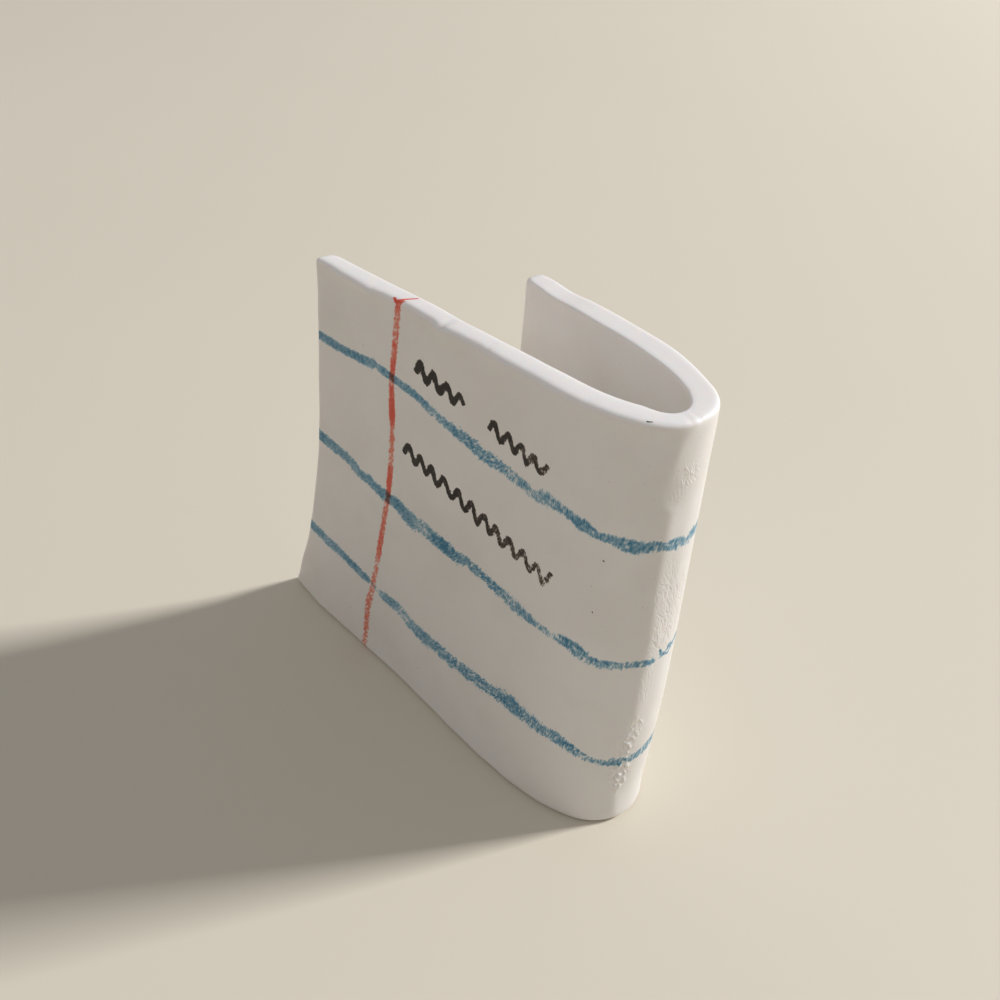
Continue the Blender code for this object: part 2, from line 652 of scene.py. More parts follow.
@dataclass
class FlatSlab:
    """The sheet before it is bent: a slab with a rounded edge, its outer face toward -Y.

    Its tables give a length at each distance along the sheet, and the ridge's at each height. The
    fold's columns are given as where a run of them ends and how wide they are, and the row bands
    as the share of the height where a band ends and how many rows it has.
    """

    sizes: SheetSizes = field(default_factory=SheetSizes)
    front_columns: int = 102
    fold_columns: Table = in_mm(
        (7.0, 0.175), (9.2, 0.085), (15.0, 0.15),
    )
    back_column_width: float = 0.30 * MM
    row_bands: tuple[tuple[float, int], ...] = ((0.085, 12), (0.315, 62), (1.0, 82))
    rim_steps: int = 4
    rim_flat_steps: int = 5
    foot_edge: EdgeRound = EdgeRound(0.55 * MM, 0.55 * MM)
    end_edge: EdgeRound = EdgeRound(0.66 * MM, 0.66 * MM)
    front_end_top_edge: EdgeRound = EdgeRound(0.38 * MM, 0.66 * MM)
    back_end_top_edge: EdgeRound = EdgeRound(0.66 * MM, 0.48 * MM)
    end_top_blend: float = 3.0 * MM
    front_top_edge: EdgeRound = EdgeRound(0.46 * MM, 0.30 * MM)
    top_edge_blend: float = 9.0 * MM
    back_top_edge: EdgeRound = EdgeRound(0.40 * MM, 0.20 * MM)
    end_blend: float = 1.0 * MM
    island_gap: float = 1.2 * MM
    sags: Table = in_mm(
        (-24.5, 0.07), (-21.0, 0.09), (-17.0, 0.05), (-13.0, 0.02), (-8.0, 0.0), (25.5, 0.0),
        (28.0, 0.12), (30.2, 0.0), (31.6, -0.05),
    )
    outer_lips: Table = in_mm(
        (-24.5, 0.04), (-22.5, 0.09), (-20.5, 0.27), (-18.0, 0.40), (-16.3, 0.12), (-14.0, -0.07),
        (-12.0, 0.02), (-10.0, 0.30), (-8.5, 0.18), (-7.0, 0.06), (-4.5, 0.15), (-1.0, 0.04),
        (2.0, 0.0), (4.5, 0.08), (7.0, 0.12), (9.5, 0.02), (12.5, -0.10), (17.5, 0.12), (21.0, 0.0),
        (24.0, 0.08), (28.0, 0.0), (30.5, 0.01),
    )
    outer_lip_height: float = 2.0 * MM
    inner_lips: Table = in_mm(
        (-24.0, -0.04), (-17.5, -0.06), (-15.3, 0.01), (-13.0, 0.04), (-9.5, -0.12), (-7.0, 0.0),
        (-3.0, 0.18), (1.0, 0.38), (5.2, 0.24), (7.9, -0.52), (12.0, 0.30), (15.0, 0.24),
        (19.0, 0.38), (23.0, 0.38), (26.0, 0.28), (28.5, 0.18), (31.0, 0.06),
    )
    inner_lip_height: float = 11.0 * MM
    outer_falls: Table = in_mm(
        (-24.0, 0.05), (-12.0, 0.12), (-4.0, 0.15), (1.0, 0.17), (6.0, 0.13), (10.0, 0.02),
    )
    inner_falls: Table = in_mm(
        (-24.0, 0.06), (6.0, 0.06), (14.0, 0.12), (30.0, 0.13),
    )
    fall_height: float = 1.6 * MM
    ridge_places: Table = in_mm(
        (0.0, 8.35), (2.3, 8.10), (3.6, 7.70), (5.0, 7.45), (8.0, 7.25), (9.6, 7.80), (11.6, 8.15),
        (16.0, 8.15), (18.3, 8.25), (20.5, 8.10), (24.0, 8.00), (28.6, 8.00), (29.2, 7.25),
        (30.3, 7.25), (31.2, 7.60), (33.4, 7.85), (34.6, 8.50),
    )
    ridge_rises: Table = in_mm(
        (0.0, 0.06), (2.3, 0.15), (3.6, 0.09), (5.0, 0.08), (8.0, 0.08), (9.6, 0.09), (11.6, 0.15),
        (16.0, 0.17), (18.3, 0.18), (20.5, 0.18), (24.0, 0.18), (28.6, 0.17), (29.2, 0.13),
        (30.3, 0.11), (31.2, 0.13), (33.4, 0.15), (34.6, 0.07),
    )
    ridge_reach: float = 1.05 * MM
    ridge_round: float = 0.28 * MM
    foot_waves: Table = in_mm(
        (-30.6, -0.28), (-25.5, 0.05), (-19.5, -0.05), (-14.8, -0.13), (-10.0, 0.0), (-6.5, 0.15),
        (-3.5, 0.20), (-1.0, 0.12), (1.5, -0.03), (4.0, 0.0),
    )
    foot_wave_height: float = 7.0 * MM
    dents: tuple[Dent, ...] = tuple(
        Dent(along * MM, depth * MM, width * MM)
        for along, depth, width in (
            (-17.7, 0.09, 0.16),
            (-10.3, 0.24, 0.22),
            (-6.1, 0.08, 0.16),
            (2.4, 0.04, 0.35),
            (8.3, 0.04, 0.14),
            (8.9, 0.04, 0.12),
        )
    )
    dent_height: float = 0.9 * MM
    sag_start: float = 0.6
    uv_margin: float = 0.01

    def columns(self) -> list[Column]:
        """Place the grid's upright lines.

        Returns:
            The lines, from the front leaf's free edge to the back leaf's.
        """
        sizes = self.sizes
        lines = [
            Column(1.0 - step / self.front_columns, 0.0, 0.0) for step in range(self.front_columns)
        ]
        start = 0.0
        for end, width in (*self.fold_columns, (sizes.fold_length, self.back_column_width)):
            count = round((end - start) / width)
            lines += [Column(0.0, start + (end - start) * i / count, 0.0) for i in range(count)]
            start = end
        count = round(sizes.back_leaf / self.back_column_width)
        lines += [Column(0.0, sizes.fold_length, i / count) for i in range(count + 1)]
        return lines

    def row_shares(self) -> list[float]:
        """Place the grid's level lines.

        Returns:
            How far up each is, from 0 at the foot to 1 at the top.
        """
        shares, start = [0.0], 0.0
        for end, count in self.row_bands:
            shares += [start + (end - start) * step / count for step in range(1, count + 1)]
            start = end
        return shares

    def rings(self) -> list[RimRing]:
        """Divide the rounded edge into rings.

        Returns:
            The rings, from the outer face to the inner face.
        """
        quarter = math.pi / 2.0
        turns = [quarter * step / self.rim_steps for step in range(self.rim_steps + 1)]
        return (
            [RimRing(turn, 0.0) for turn in turns]
            + [RimRing(quarter, i / self.rim_flat_steps) for i in range(1, self.rim_flat_steps)]
            + [RimRing(quarter + turn, 1.0) for turn in turns]
        )

    def end_edge_at(self, column: Column, height: float) -> EdgeRound:
        """Return the round of a free end of the sheet, which changes toward its top corner.

        Args:
            column: a line of the leaf that ends there.
            height: the height above the foot.

        Returns:
            The round.
        """
        edge = self.foot_edge.toward(self.end_edge, height / self.sizes.height)
        below_top = self.sizes.height - height
        corner = self.front_end_top_edge if column.front_share > 0.0 else self.back_end_top_edge
        return edge.toward(corner, 1.0 - below_top / self.end_top_blend)

    def top_edge_at(self, column: Column) -> EdgeRound:
        """Return the round of the top edge, which turns into the free ends' round beside them.

        Args:
            column: the upright line where it is wanted.

        Returns:
            The round.
        """
        sizes = self.sizes
        to_front_end = (1.0 - column.front_share) * sizes.front_leaf_top + column.distance
        to_back_end = (1.0 - column.back_share) * sizes.back_leaf
        to_back_end += sizes.fold_length - column.distance
        if column.front_share == 0.0:
            to_front_end = sizes.front_leaf_top
        at_back = column.distance / self.top_edge_blend
        edge = self.front_top_edge.toward(self.back_top_edge, at_back)
        near_end = 1.0 - min(to_front_end, to_back_end) / self.end_blend
        return edge.toward(self.end_edge_at(column, sizes.height), near_end)

    def flat_point(
        self, column: Column, share_up: float, inset: Callable[[EdgeRound], float]
    ) -> tuple[float, float]:
        """Return a point of the grid, as its distance along the sheet and its height.

        Args:
            column: the upright line that it is on.
            share_up: how far up it is, from 0 to 1.
            inset: how far the grid lies inside the sheet's outline where the edge has a round.

        Returns:
            The distance along the sheet and the height.
        """
        sizes = self.sizes
        low, high = inset(self.foot_edge), inset(self.top_edge_at(column))
        height = low + share_up * (sizes.height - low - high)
        side = inset(self.end_edge_at(column, height))
        along = (
            column.distance
            - column.front_share * (sizes.front_reach(height) - side)
            + column.back_share * (sizes.back_reach(height) - side)
        )
        return along, height

    def round_corner(self, along: float, height: float) -> tuple[float, float]:
        """Pull a point near one of the sheet's four corners in to the corner's round.

        Args:
            along: the point's distance along the sheet.
            height: its height.

        Returns:
            The distance and the height, the same as before away from the corners.
        """
        sizes = self.sizes
        at_foot = height < sizes.height / 2.0
        radius = sizes.foot_corner_round if at_foot else sizes.top_corner_round
        left = along + sizes.front_reach(height)
        right = sizes.fold_length + sizes.back_reach(height) - along
        side, end_direction = min((left, 1.0), (right, -1.0))
        level, up_direction = min((height, 1.0), (sizes.height - height, -1.0))
        x, y = 1.0 - side / radius, 1.0 - level / radius
        if x <= 0.0 or y <= 0.0:
            return along, height
        pull = 1.0 - max(x, y) / math.hypot(x, y)
        return along + end_direction * x * pull * radius, height + up_direction * y * pull * radius

    def top_wear(self, along: float, height: float, outward: float) -> float:
        """Return how far the hand-cut top edge lies below a straight one.

        Args:
            along: the point's distance along the sheet.
            height: its height.
            outward: how far it lies outside the sheet's middle.

        Returns:
            The drop: the sag and the dents.
        """
        rise = max(0.0, height / self.sizes.height - self.sag_start) / (1.0 - self.sag_start)
        wear = interpolate(self.sags, along) * rise**2
        near_top = self.sizes.near_top(height, self.dent_height)
        toward_outer = clamped(0.5 + outward / self.sizes.thickness)
        for dent in self.dents:
            reach = math.exp(-(((along - dent.along) / dent.width) ** 2))
            wear += dent.depth * reach * near_top * toward_outer**2
        return wear

    def lip(self, along: float, height: float, outward: float) -> float:
        """Return how far the sheet is thicker than its even thickness near the top.

        Args:
            along: the point's distance along the sheet.
            height: its height.
            outward: how far it lies outside the sheet's middle.

        Returns:
            The shift, toward the nearer face where the sheet is thicker.
        """
        on_outer = outward > 0.0
        lips = self.outer_lips if on_outer else self.inner_lips
        reach = self.outer_lip_height if on_outer else self.inner_lip_height
        toward_face = outward / (self.sizes.thickness / 2.0)
        return interpolate(lips, along) * toward_face * smooth(self.sizes.near_top(height, reach))

    def fall(self, along: float, height: float, outward: float) -> float:
        """Return how far the top edge falls away from its crest, toward each face.

        Args:
            along: the point's distance along the sheet.
            height: its height.
            outward: how far it lies outside the sheet's middle.

        Returns:
            The drop.
        """
        near_top = self.sizes.near_top(height, self.fall_height)
        side = outward / self.sizes.thickness
        outer = interpolate(self.outer_falls, along) * (0.5 + side) ** 2
        inner = interpolate(self.inner_falls, along) * (0.5 - side)
        return (outer + inner) * near_top

    def fold_ridge(self, along: float, height: float, outward: float) -> float:
        """Return how far the soft ridge up the outside of the fold stands out.

        Args:
            along: the point's distance along the sheet.
            height: its height.
            outward: how far it lies outside the sheet's middle.

        Returns:
            The rise.
        """
        centre = interpolate(self.ridge_places, height)
        rise = interpolate(self.ridge_rises, height)
        away = math.hypot(along - centre, self.ridge_round) / self.ridge_reach
        on_outer = max(0.0, outward / (self.sizes.thickness / 2.0))
        return rise * max(0.0, 1.0 - away) ** 2 * on_outer

    def foot_wave(self, along: float, height: float) -> float:
        """Return how far the front leaf swings out near its foot at a point."""
        fade = max(0.0, 1.0 - height / self.foot_wave_height)
        return interpolate(self.foot_waves, along) * smooth(fade)

    def build(self, name: str) -> bpy.types.Object:
        """Build the slab.

        Args:
            name: the object's name.

        Returns:
            The object, with its place attribute and its UV map.
        """
        columns, shares, rings = self.columns(), self.row_shares(), self.rings()
        last_column, last_row = len(columns) - 1, len(shares) - 1
        half = self.sizes.thickness / 2.0
        walk = (
            [(i, 0) for i in range(last_column)]
            + [(last_column, j) for j in range(last_row)]
            + [(i, last_row) for i in range(last_column, 0, -1)]
            + [(0, j) for j in range(last_row, 0, -1)]
        )
        grid = [(i, j) for i in range(last_column + 1) for j in range(last_row + 1)]

        points: list[tuple[float, float, float]] = []
        places: list[tuple[float, float, float]] = []

        def put(spot: tuple[int, int], ring: RimRing) -> int:
            """Add one point of the slab.

            Args:
                spot: its column and its row in the grid.
                ring: the ring that it lies on. A face's points lie on its own ring.

            Returns:
                The point's number.
            """
            i, j = spot
            along, height = self.flat_point(columns[i], shares[j], ring.inset)
            if j == last_row:
                edge = self.top_edge_at(columns[i])
            else:
                edge = self.foot_edge if j == 0 else self.end_edge_at(columns[i], height)
            outward = ring.outward(edge, half)
            along, height = self.round_corner(along, height)
            height -= self.top_wear(along, height, outward) + self.fall(along, height, outward)
            unrolled = self.flat_point(
                columns[i], shares[j], lambda edge: ring.unrolled_inset(edge, half)
            )
            outside = outward + self.lip(along, height, outward) + self.foot_wave(along, height)
            outside += self.fold_ridge(along, height, outward)
            points.append((along, -outside, height))
            places.append((*unrolled, outward / half))
            return len(points) - 1

        outer_ring, inner_ring = rings[0], rings[-1]
        outer = {spot: put(spot, outer_ring) for spot in grid}
        on_rim = set(walk)
        inner = {spot: put(spot, inner_ring) for spot in grid if spot not in on_rim}
        loops = [[outer[spot] for spot in walk]]
        loops += [[put(spot, ring) for spot in walk] for ring in rings[1:]]
        inner.update({spot: number for spot, number in zip(walk, loops[-1])})

        faces: list[tuple[int, ...]] = []
        net: list[tuple[float, float]] = []

        def unrolled(number: int) -> tuple[float, float]:
            """Return where a point lies in the unrolled net of the outer face and the edge."""
            return places[number][0], places[number][1]

        edge_run = -inner_ring.unrolled_inset(self.foot_edge, half)
        drop = self.sizes.height + 2.0 * edge_run + self.island_gap

        def inner_net(spot: tuple[int, int]) -> tuple[float, float]:
            """Return where a point of the inner face lies in the net, under the outer face."""
            along, height = self.flat_point(columns[spot[0]], shares[spot[1]], inner_ring.inset)
            return along, height - drop

        for i in range(last_column):
            for j in range(last_row):
                spots = ((i, j), (i + 1, j), (i + 1, j + 1), (i, j + 1))
                faces.append(tuple(outer[spot] for spot in spots))
                net += [unrolled(outer[spot]) for spot in spots]
                spots = spots[::-1]
                faces.append(tuple(inner[spot] for spot in spots))
                net += [inner_net(spot) for spot in spots]
        for near, far in zip(loops, loops[1:]):
            for k, _ in enumerate(walk):
                after = (k + 1) % len(walk)
                quad = (near[after], near[k], far[k], far[after])
                faces.append(quad)
                net += [unrolled(number) for number in quad]

        mesh = bpy.data.meshes.new(name)
        mesh.from_pydata(points, [], faces)
        attribute = mesh.attributes.new(PLACE_ATTRIBUTE, "FLOAT_VECTOR", "POINT")
        attribute.data.foreach_set("vector", [number for place in places for number in place])
        self._lay_out(mesh, net)
        mesh.shade_smooth()
        mesh.update()
        return put_in_scene(name, mesh)

    def _lay_out(self, mesh: bpy.types.Mesh, net: Sequence[tuple[float, float]]) -> None:
        """Give the mesh its UV map: the net, brought to the unit square at one scale.

        Args:
            mesh: the mesh.
            net: where each corner of each face lies in the net.
        """
        starts = [min(values) for values in zip(*net)]
        span = max(max(values) - start for values, start in zip(zip(*net), starts))
        scale = (1.0 - 2.0 * self.uv_margin) / span
        layer = mesh.uv_layers.new(name=UV_MAP)
        values = [
            self.uv_margin + (value - start) * scale
            for point in net
            for value, start in zip(point, starts)
        ]
        layer.uv.foreach_set("vector", values)


# ---- Geometry Nodes of the sheet ----


def make_bend_tree(sizes: SheetSizes) -> GeometryTree:
    """Make the tree that bends a flat slab round the fold.

    Args:
        sizes: the sheet's sizes, which the tree's inputs start from.

    Returns:
        The tree.
    """
    tree = GeometryTree("bend_round_the_fold")
    along, inward, height = tree.split(tree.add("GeometryNodeInputPosition"))

    heading_before: Operand = tree.number("Front leaf heading", 0.0)
    heading: Operand = heading_before
    start: Operand = 0.0
    x: Operand = along.at_most(0.0)
    y: Operand = 0.0
    for arc in sizes.arcs:
        radius = tree.number(f"{arc.name} radius", arc.radius)
        angle = tree.number(f"{arc.name} angle", arc.angle)
        turn = ((along - start) / radius).at_least(0.0).at_most(angle)
        heading_here = heading_before + turn
        x = x + radius * (heading_here.sine() - heading_before.sine())
        y = y + radius * (heading_before.cosine() - heading_here.cosine())
        heading = heading + turn
        heading_before = heading_before + angle
        start = start + radius * angle
    past = (along - start).at_least(0.0)
    x = x + past * heading_before.cosine()
    y = y + past * heading_before.sine()

    upright = tree.number("Upright foot", sizes.upright_foot)
    top = tree.number("Sheet height", sizes.height)
    rise = ((height - upright) / (top - upright)).at_least(0.0)
    swell_wave = ((rise ** tree.number("Swell power", sizes.swell_power)) * math.pi).sine()
    past_fold = heading.ramp(*sizes.swell_held)
    swell_round = heading.sine() * heading.sine().at_least(past_fold)
    swell = tree.number("Swell", sizes.swell) * swell_round * swell_wave * swell_wave
    outward = swell - inward

    leaf = tree.number("Front leaf top length", sizes.front_leaf_top)
    reach = (along * -1.0).at_least(0.0) / leaf
    lean = (
        tree.number("Corner lean", sizes.corner_lean)
        * reach ** tree.number("Lean power along", sizes.lean_power_along)
        * rise ** tree.number("Lean power up", sizes.lean_power_up)
    )
    place = tree.vector(
        x + outward * heading.sine() + tree.number("Fold start x", sizes.fold_start_x),
        y - outward * heading.cosine() - lean + tree.number("Fold start y", sizes.fold_start_y),
        height,
    )
    tree.end(
        tree.add("GeometryNodeSetPosition", inputs={"Geometry": tree.geometry, "Position": place})
    )
    return tree


@dataclass(frozen=True)
class Pinch:
    """An oval patch of the fold where bending wrinkled the skin."""

    along: float
    up: float
    reach_along: float
    reach_up: float
    strength: float

    def mask(self, along: Signal, up: Signal) -> Signal:
        """Return the patch's strength, which fades out toward its border.

        Args:
            along: the distance along the sheet.
            up: the height.

        Returns:
            The strength at each place.
        """
        x = (along - self.along) / self.reach_along
        y = (up - self.up) / self.reach_up
        return (x * x + y * y).ramp(1.0, 0.0) * self.strength


def strongest(pinches: Sequence[Pinch], along: Signal, up: Signal) -> Signal:
    """Return the greatest of several patches' strengths.

    Args:
        pinches: the patches.
        along: the distance along the sheet.
        up: the height.

    Returns:
        The strength at each place.
    """
    first, *others = (pinch.mask(along, up) for pinch in pinches)
    for other in others:
        first = first.at_least(other)
    return first


def make_pinches(*rows: tuple[float, float, float, float, float]) -> tuple[Pinch, ...]:
    """Return patches from rows of places and reaches in millimetres, and a strength."""
    return tuple(Pinch(*(length * MM for length in lengths), power) for *lengths, power in rows)


# How creases and specks lean from upright, and a speck's length and width
CREASE_LEAN = 0.30
SPECK_SIZE = (0.42 * MM, 0.23 * MM)
WRINKLED = make_pinches(
    (8.75, 31.1, 1.05, 1.2, 0.70),
    (8.40, 29.8, 0.80, 1.0, 0.30),
    (8.60, 24.3, 0.70, 1.8, 0.35),
    (9.20, 21.6, 1.60, 3.2, 0.80),
    (9.00, 18.4, 1.30, 2.6, 0.85),
    (8.50, 14.6, 0.55, 3.0, 0.50),
    (11.6, 9.0, 1.3, 5.5, 0.35),
    (12.4, 24.5, 1.5, 4.5, 0.4),
)
SPECKLED = make_pinches(
    (8.80, 31.1, 0.95, 1.1, 0.60),
    (8.45, 10.0, 0.50, 1.6, 0.7),
    (8.05, 8.2, 0.75, 1.6, 1.0),
    (8.05, 5.3, 0.95, 2.3, 1.0),
)


@dataclass(frozen=True)
class SkinRelief:
    """How far hand work leaves the sheet's skin below a perfect one, and over what sizes.

    Each kind of relief adds its own number to the seed. The warp's sizes are in creases.
    """

    seed: float = 3.0
    broad_depth: float = 0.055 * MM
    broad_size: float = 8.0 * MM
    pat_depth: float = 0.020 * MM
    pat_size: float = 1.7 * MM
    crease_depth: float = 0.040 * MM
    crease_length: float = 1.5 * MM
    crease_width: float = 0.45 * MM
    crease_lean: float = CREASE_LEAN
    crease_sharpness: float = 0.16
    warp_reach: tuple[float, float] = (1.8, 1.1)
    warp_size: float = 1.0 / 0.6
    speck_height: float = 0.105 * MM
    speck_size: tuple[float, float] = SPECK_SIZE
    speck_cut: tuple[float, float] = (0.48, 0.68)
    outer_fade: tuple[float, float] = (0.2, 0.8)
    foot_fade: tuple[float, float] = (0.1 * MM, 1.6 * MM)
    pat_seed: float = 7.0
    warp_seed: float = 11.0
    crease_seed: float = 13.0
    speck_seed: float = 24.0
    wrinkled: tuple[Pinch, ...] = WRINKLED
    speckled: tuple[Pinch, ...] = SPECKLED[1:]


def make_skin_tree(relief: SkinRelief) -> GeometryTree:
    """Make the tree that works the skin: broad hollows, finger pats and creases on the fold.

    Args:
        relief: the depths and sizes, which the tree's inputs start from.

    Returns:
        The tree. It moves the skin inward, but for the specks on the fold, and leaves the foot
        flat.
    """
    tree = GeometryTree("hand_worked_skin")
    position = tree.add("GeometryNodeInputPosition")
    normal = tree.add("GeometryNodeInputNormal")
    seed = tree.number("Seed", relief.seed)
    along, up, side = tree.split(tree.read(PLACE_ATTRIBUTE, "FLOAT_VECTOR"))

    broad_size = tree.number("Broad size", relief.broad_size)
    broad = tree.noise(position, broad_size, seed, detail=1.0)
    pat_size = tree.number("Pat size", relief.pat_size)
    pats = tree.noise(position, pat_size, seed + relief.pat_seed)
    across = along + up * tree.number("Crease lean", relief.crease_lean)
    crease_place = tree.vector(
        across / tree.number("Crease width", relief.crease_width),
        up / tree.number("Crease length", relief.crease_length),
        0.0,
    )
    warp = tree.noise(crease_place, relief.warp_size, seed + relief.warp_seed, detail=1.0)
    warp = tree.vector(*(warp * reach for reach in relief.warp_reach), 0.0)
    warped_place = tree.vector_math("ADD", crease_place, warp)
    creases = tree.noise(warped_place, 1.0, seed + relief.crease_seed)
    creases = abs(creases - NOISE_MIDDLE).ramp(relief.crease_sharpness, 0.0)
    speck_place = tree.stretched(up, across, relief.speck_size)
    specks = tree.noise(speck_place, 1.0, seed + relief.speck_seed, detail=1.0)
    specks = specks.ramp(*relief.speck_cut)
    on_outer = side.ramp(*relief.outer_fade)
    pinched = strongest(relief.wrinkled, along, up) * on_outer
    speckled = strongest(relief.speckled, along, up) * on_outer

    depth = (
        tree.number("Broad depth", relief.broad_depth) * broad
        + tree.number("Pat depth", relief.pat_depth) * pats
        + tree.number("Crease depth", relief.crease_depth) * pinched * creases
        - tree.number("Speck height", relief.speck_height) * specks * speckled
    )
    above_foot = tree.split(position)[2].ramp(*relief.foot_fade)
    offset = tree.add(
        "ShaderNodeVectorMath",
        {"operation": "SCALE"},
        {"Vector": normal, "Scale": depth * above_foot * -1.0},
    )
    tree.end(
        tree.add("GeometryNodeSetPosition", inputs={"Geometry": tree.geometry, "Offset": offset})
    )
    return tree


def make_mark_tree() -> GeometryTree:
    """Make the tree that lays strokes on the sheet.

    The strokes are curves in the plane of the unrolled sheet. Each point of the sheet gets its
    distance across the nearest stroke and its distance from it, both in half widths of the
    stroke, and how hard the pencil was pressed there.

    Returns:
        The tree.
    """
    tree = GeometryTree("lay_strokes_on_sheet")
    strokes = tree.input("Strokes", "NodeSocketObject")
    name = tree.input("Attribute", "NodeSocketString", "")
    spacing = tree.number("Spacing", 0.08 * MM)
    wrong_side = tree.number("Distance on inner face", 1.0)

    curves = tree.add("GeometryNodeObjectInfo", inputs={"Object": strokes}, output="Geometry")
    smooth_curves = tree.add(
        "GeometryNodeCurveSplineType", {"spline_type": "CATMULL_ROM"}, {"Curve": curves}
    )
    tilt = tree.add("GeometryNodeInputCurveTilt")
    pressed = tree.store(smooth_curves, PRESSURE_ATTRIBUTE, "FLOAT", tilt)
    dots = tree.add(
        "GeometryNodeCurveToPoints", {"mode": "LENGTH"}, {"Curve": pressed, "Length": spacing}
    )
    dots = tree.store(dots, TANGENT_ATTRIBUTE, "FLOAT_VECTOR", tree.sibling(dots, "Tangent"))

    along, up, side = tree.split(tree.read(PLACE_ATTRIBUTE, "FLOAT_VECTOR"))
    here = tree.vector(along, up, 0.0)
    nearest = tree.add(
        "GeometryNodeSampleNearest",
        {"domain": "POINT"},
        {"Geometry": dots, "Sample Position": here},
    )

    def sampled(value: Signal, kind: str) -> Signal:
        """Return a value of the nearest point of the strokes."""
        return tree.add(
            "GeometryNodeSampleIndex",
            {"data_type": kind, "domain": "POINT"},
            {"Geometry": dots, "Value": value, "Index": nearest},
        )

    centre = sampled(tree.add("GeometryNodeInputPosition"), "FLOAT_VECTOR")
    half_width = sampled(tree.add("GeometryNodeInputRadius"), "FLOAT")
    tangent = sampled(tree.read(TANGENT_ATTRIBUTE, "FLOAT_VECTOR"), "FLOAT_VECTOR")
    tangent_x, tangent_y, _ = tree.split(tangent)
    pressure = sampled(tree.read(PRESSURE_ATTRIBUTE, "FLOAT"), "FLOAT")
    away = tree.vector_math("SUBTRACT", here, centre)
    away_x, away_y, _ = tree.split(away)
    across = (away_y * tangent_x - away_x * tangent_y) / half_width
    distance = tree.vector_math("LENGTH", away, output="Value")
    distance = (distance + (side < INNER_FACE) * wrong_side) / half_width
    tree.end(
        tree.store(tree.geometry, name, "FLOAT_VECTOR", tree.vector(across, distance, pressure))
    )
    return tree


# ---- Strokes ----


class Pigment(Enum):
    """The pencils that the sheet was marked with. Each value is the attribute of its strokes."""

    BLUE = "blue_strokes"
    RED = "red_strokes"
    BLACK = "black_strokes"


@dataclass(frozen=True)
class Stroke:
    """One stroke on the unrolled sheet.

    Each point is a distance along the sheet, a height and a width in millimetres, and how hard
    the pencil was pressed, from 0 to 1.
    """

    points: tuple[tuple[float, float, float, float], ...]


@dataclass(frozen=True)
class PenWave:
    """A row of plain waves, drawn with one swing of a pen."""

    start: tuple[float, float]
    end: tuple[float, float]
    waves: float
    rise: float
    width: float
    pressure: tuple[float, float]
    seed: int
    points_in_wave: int = 10
    stretch_range: tuple[float, float] = (0.82, 1.18)
    rise_range: tuple[float, float] = (0.72, 1.1)
    width_range: tuple[float, float] = (0.85, 1.12)

    def stroke(self) -> Stroke:
        """Draw the row, uneven as a hand leaves it.

        Returns:
            The row as one stroke.
        """
        dice = random.Random(self.seed)
        count = round(self.waves * self.points_in_wave)
        (start_x, start_y), (end_x, end_y) = self.start, self.end
        phase, points = 0.0, []
        stretch, rise = 1.0, self.rise
        for step in range(count + 1):
            if step % (self.points_in_wave // 2) == 0:
                stretch = dice.uniform(*self.stretch_range)
                rise = self.rise * dice.uniform(*self.rise_range)
            share = step / count
            points.append(
                (
                    start_x + (end_x - start_x) * share,
                    start_y + (end_y - start_y) * share + rise * math.sin(phase) / 2.0,
                    self.width * dice.uniform(*self.width_range),
                    self.pressure[0] + (self.pressure[1] - self.pressure[0]) * share,
                )
            )
            phase += 2.0 * math.pi * stretch / self.points_in_wave
        return Stroke(tuple(points))


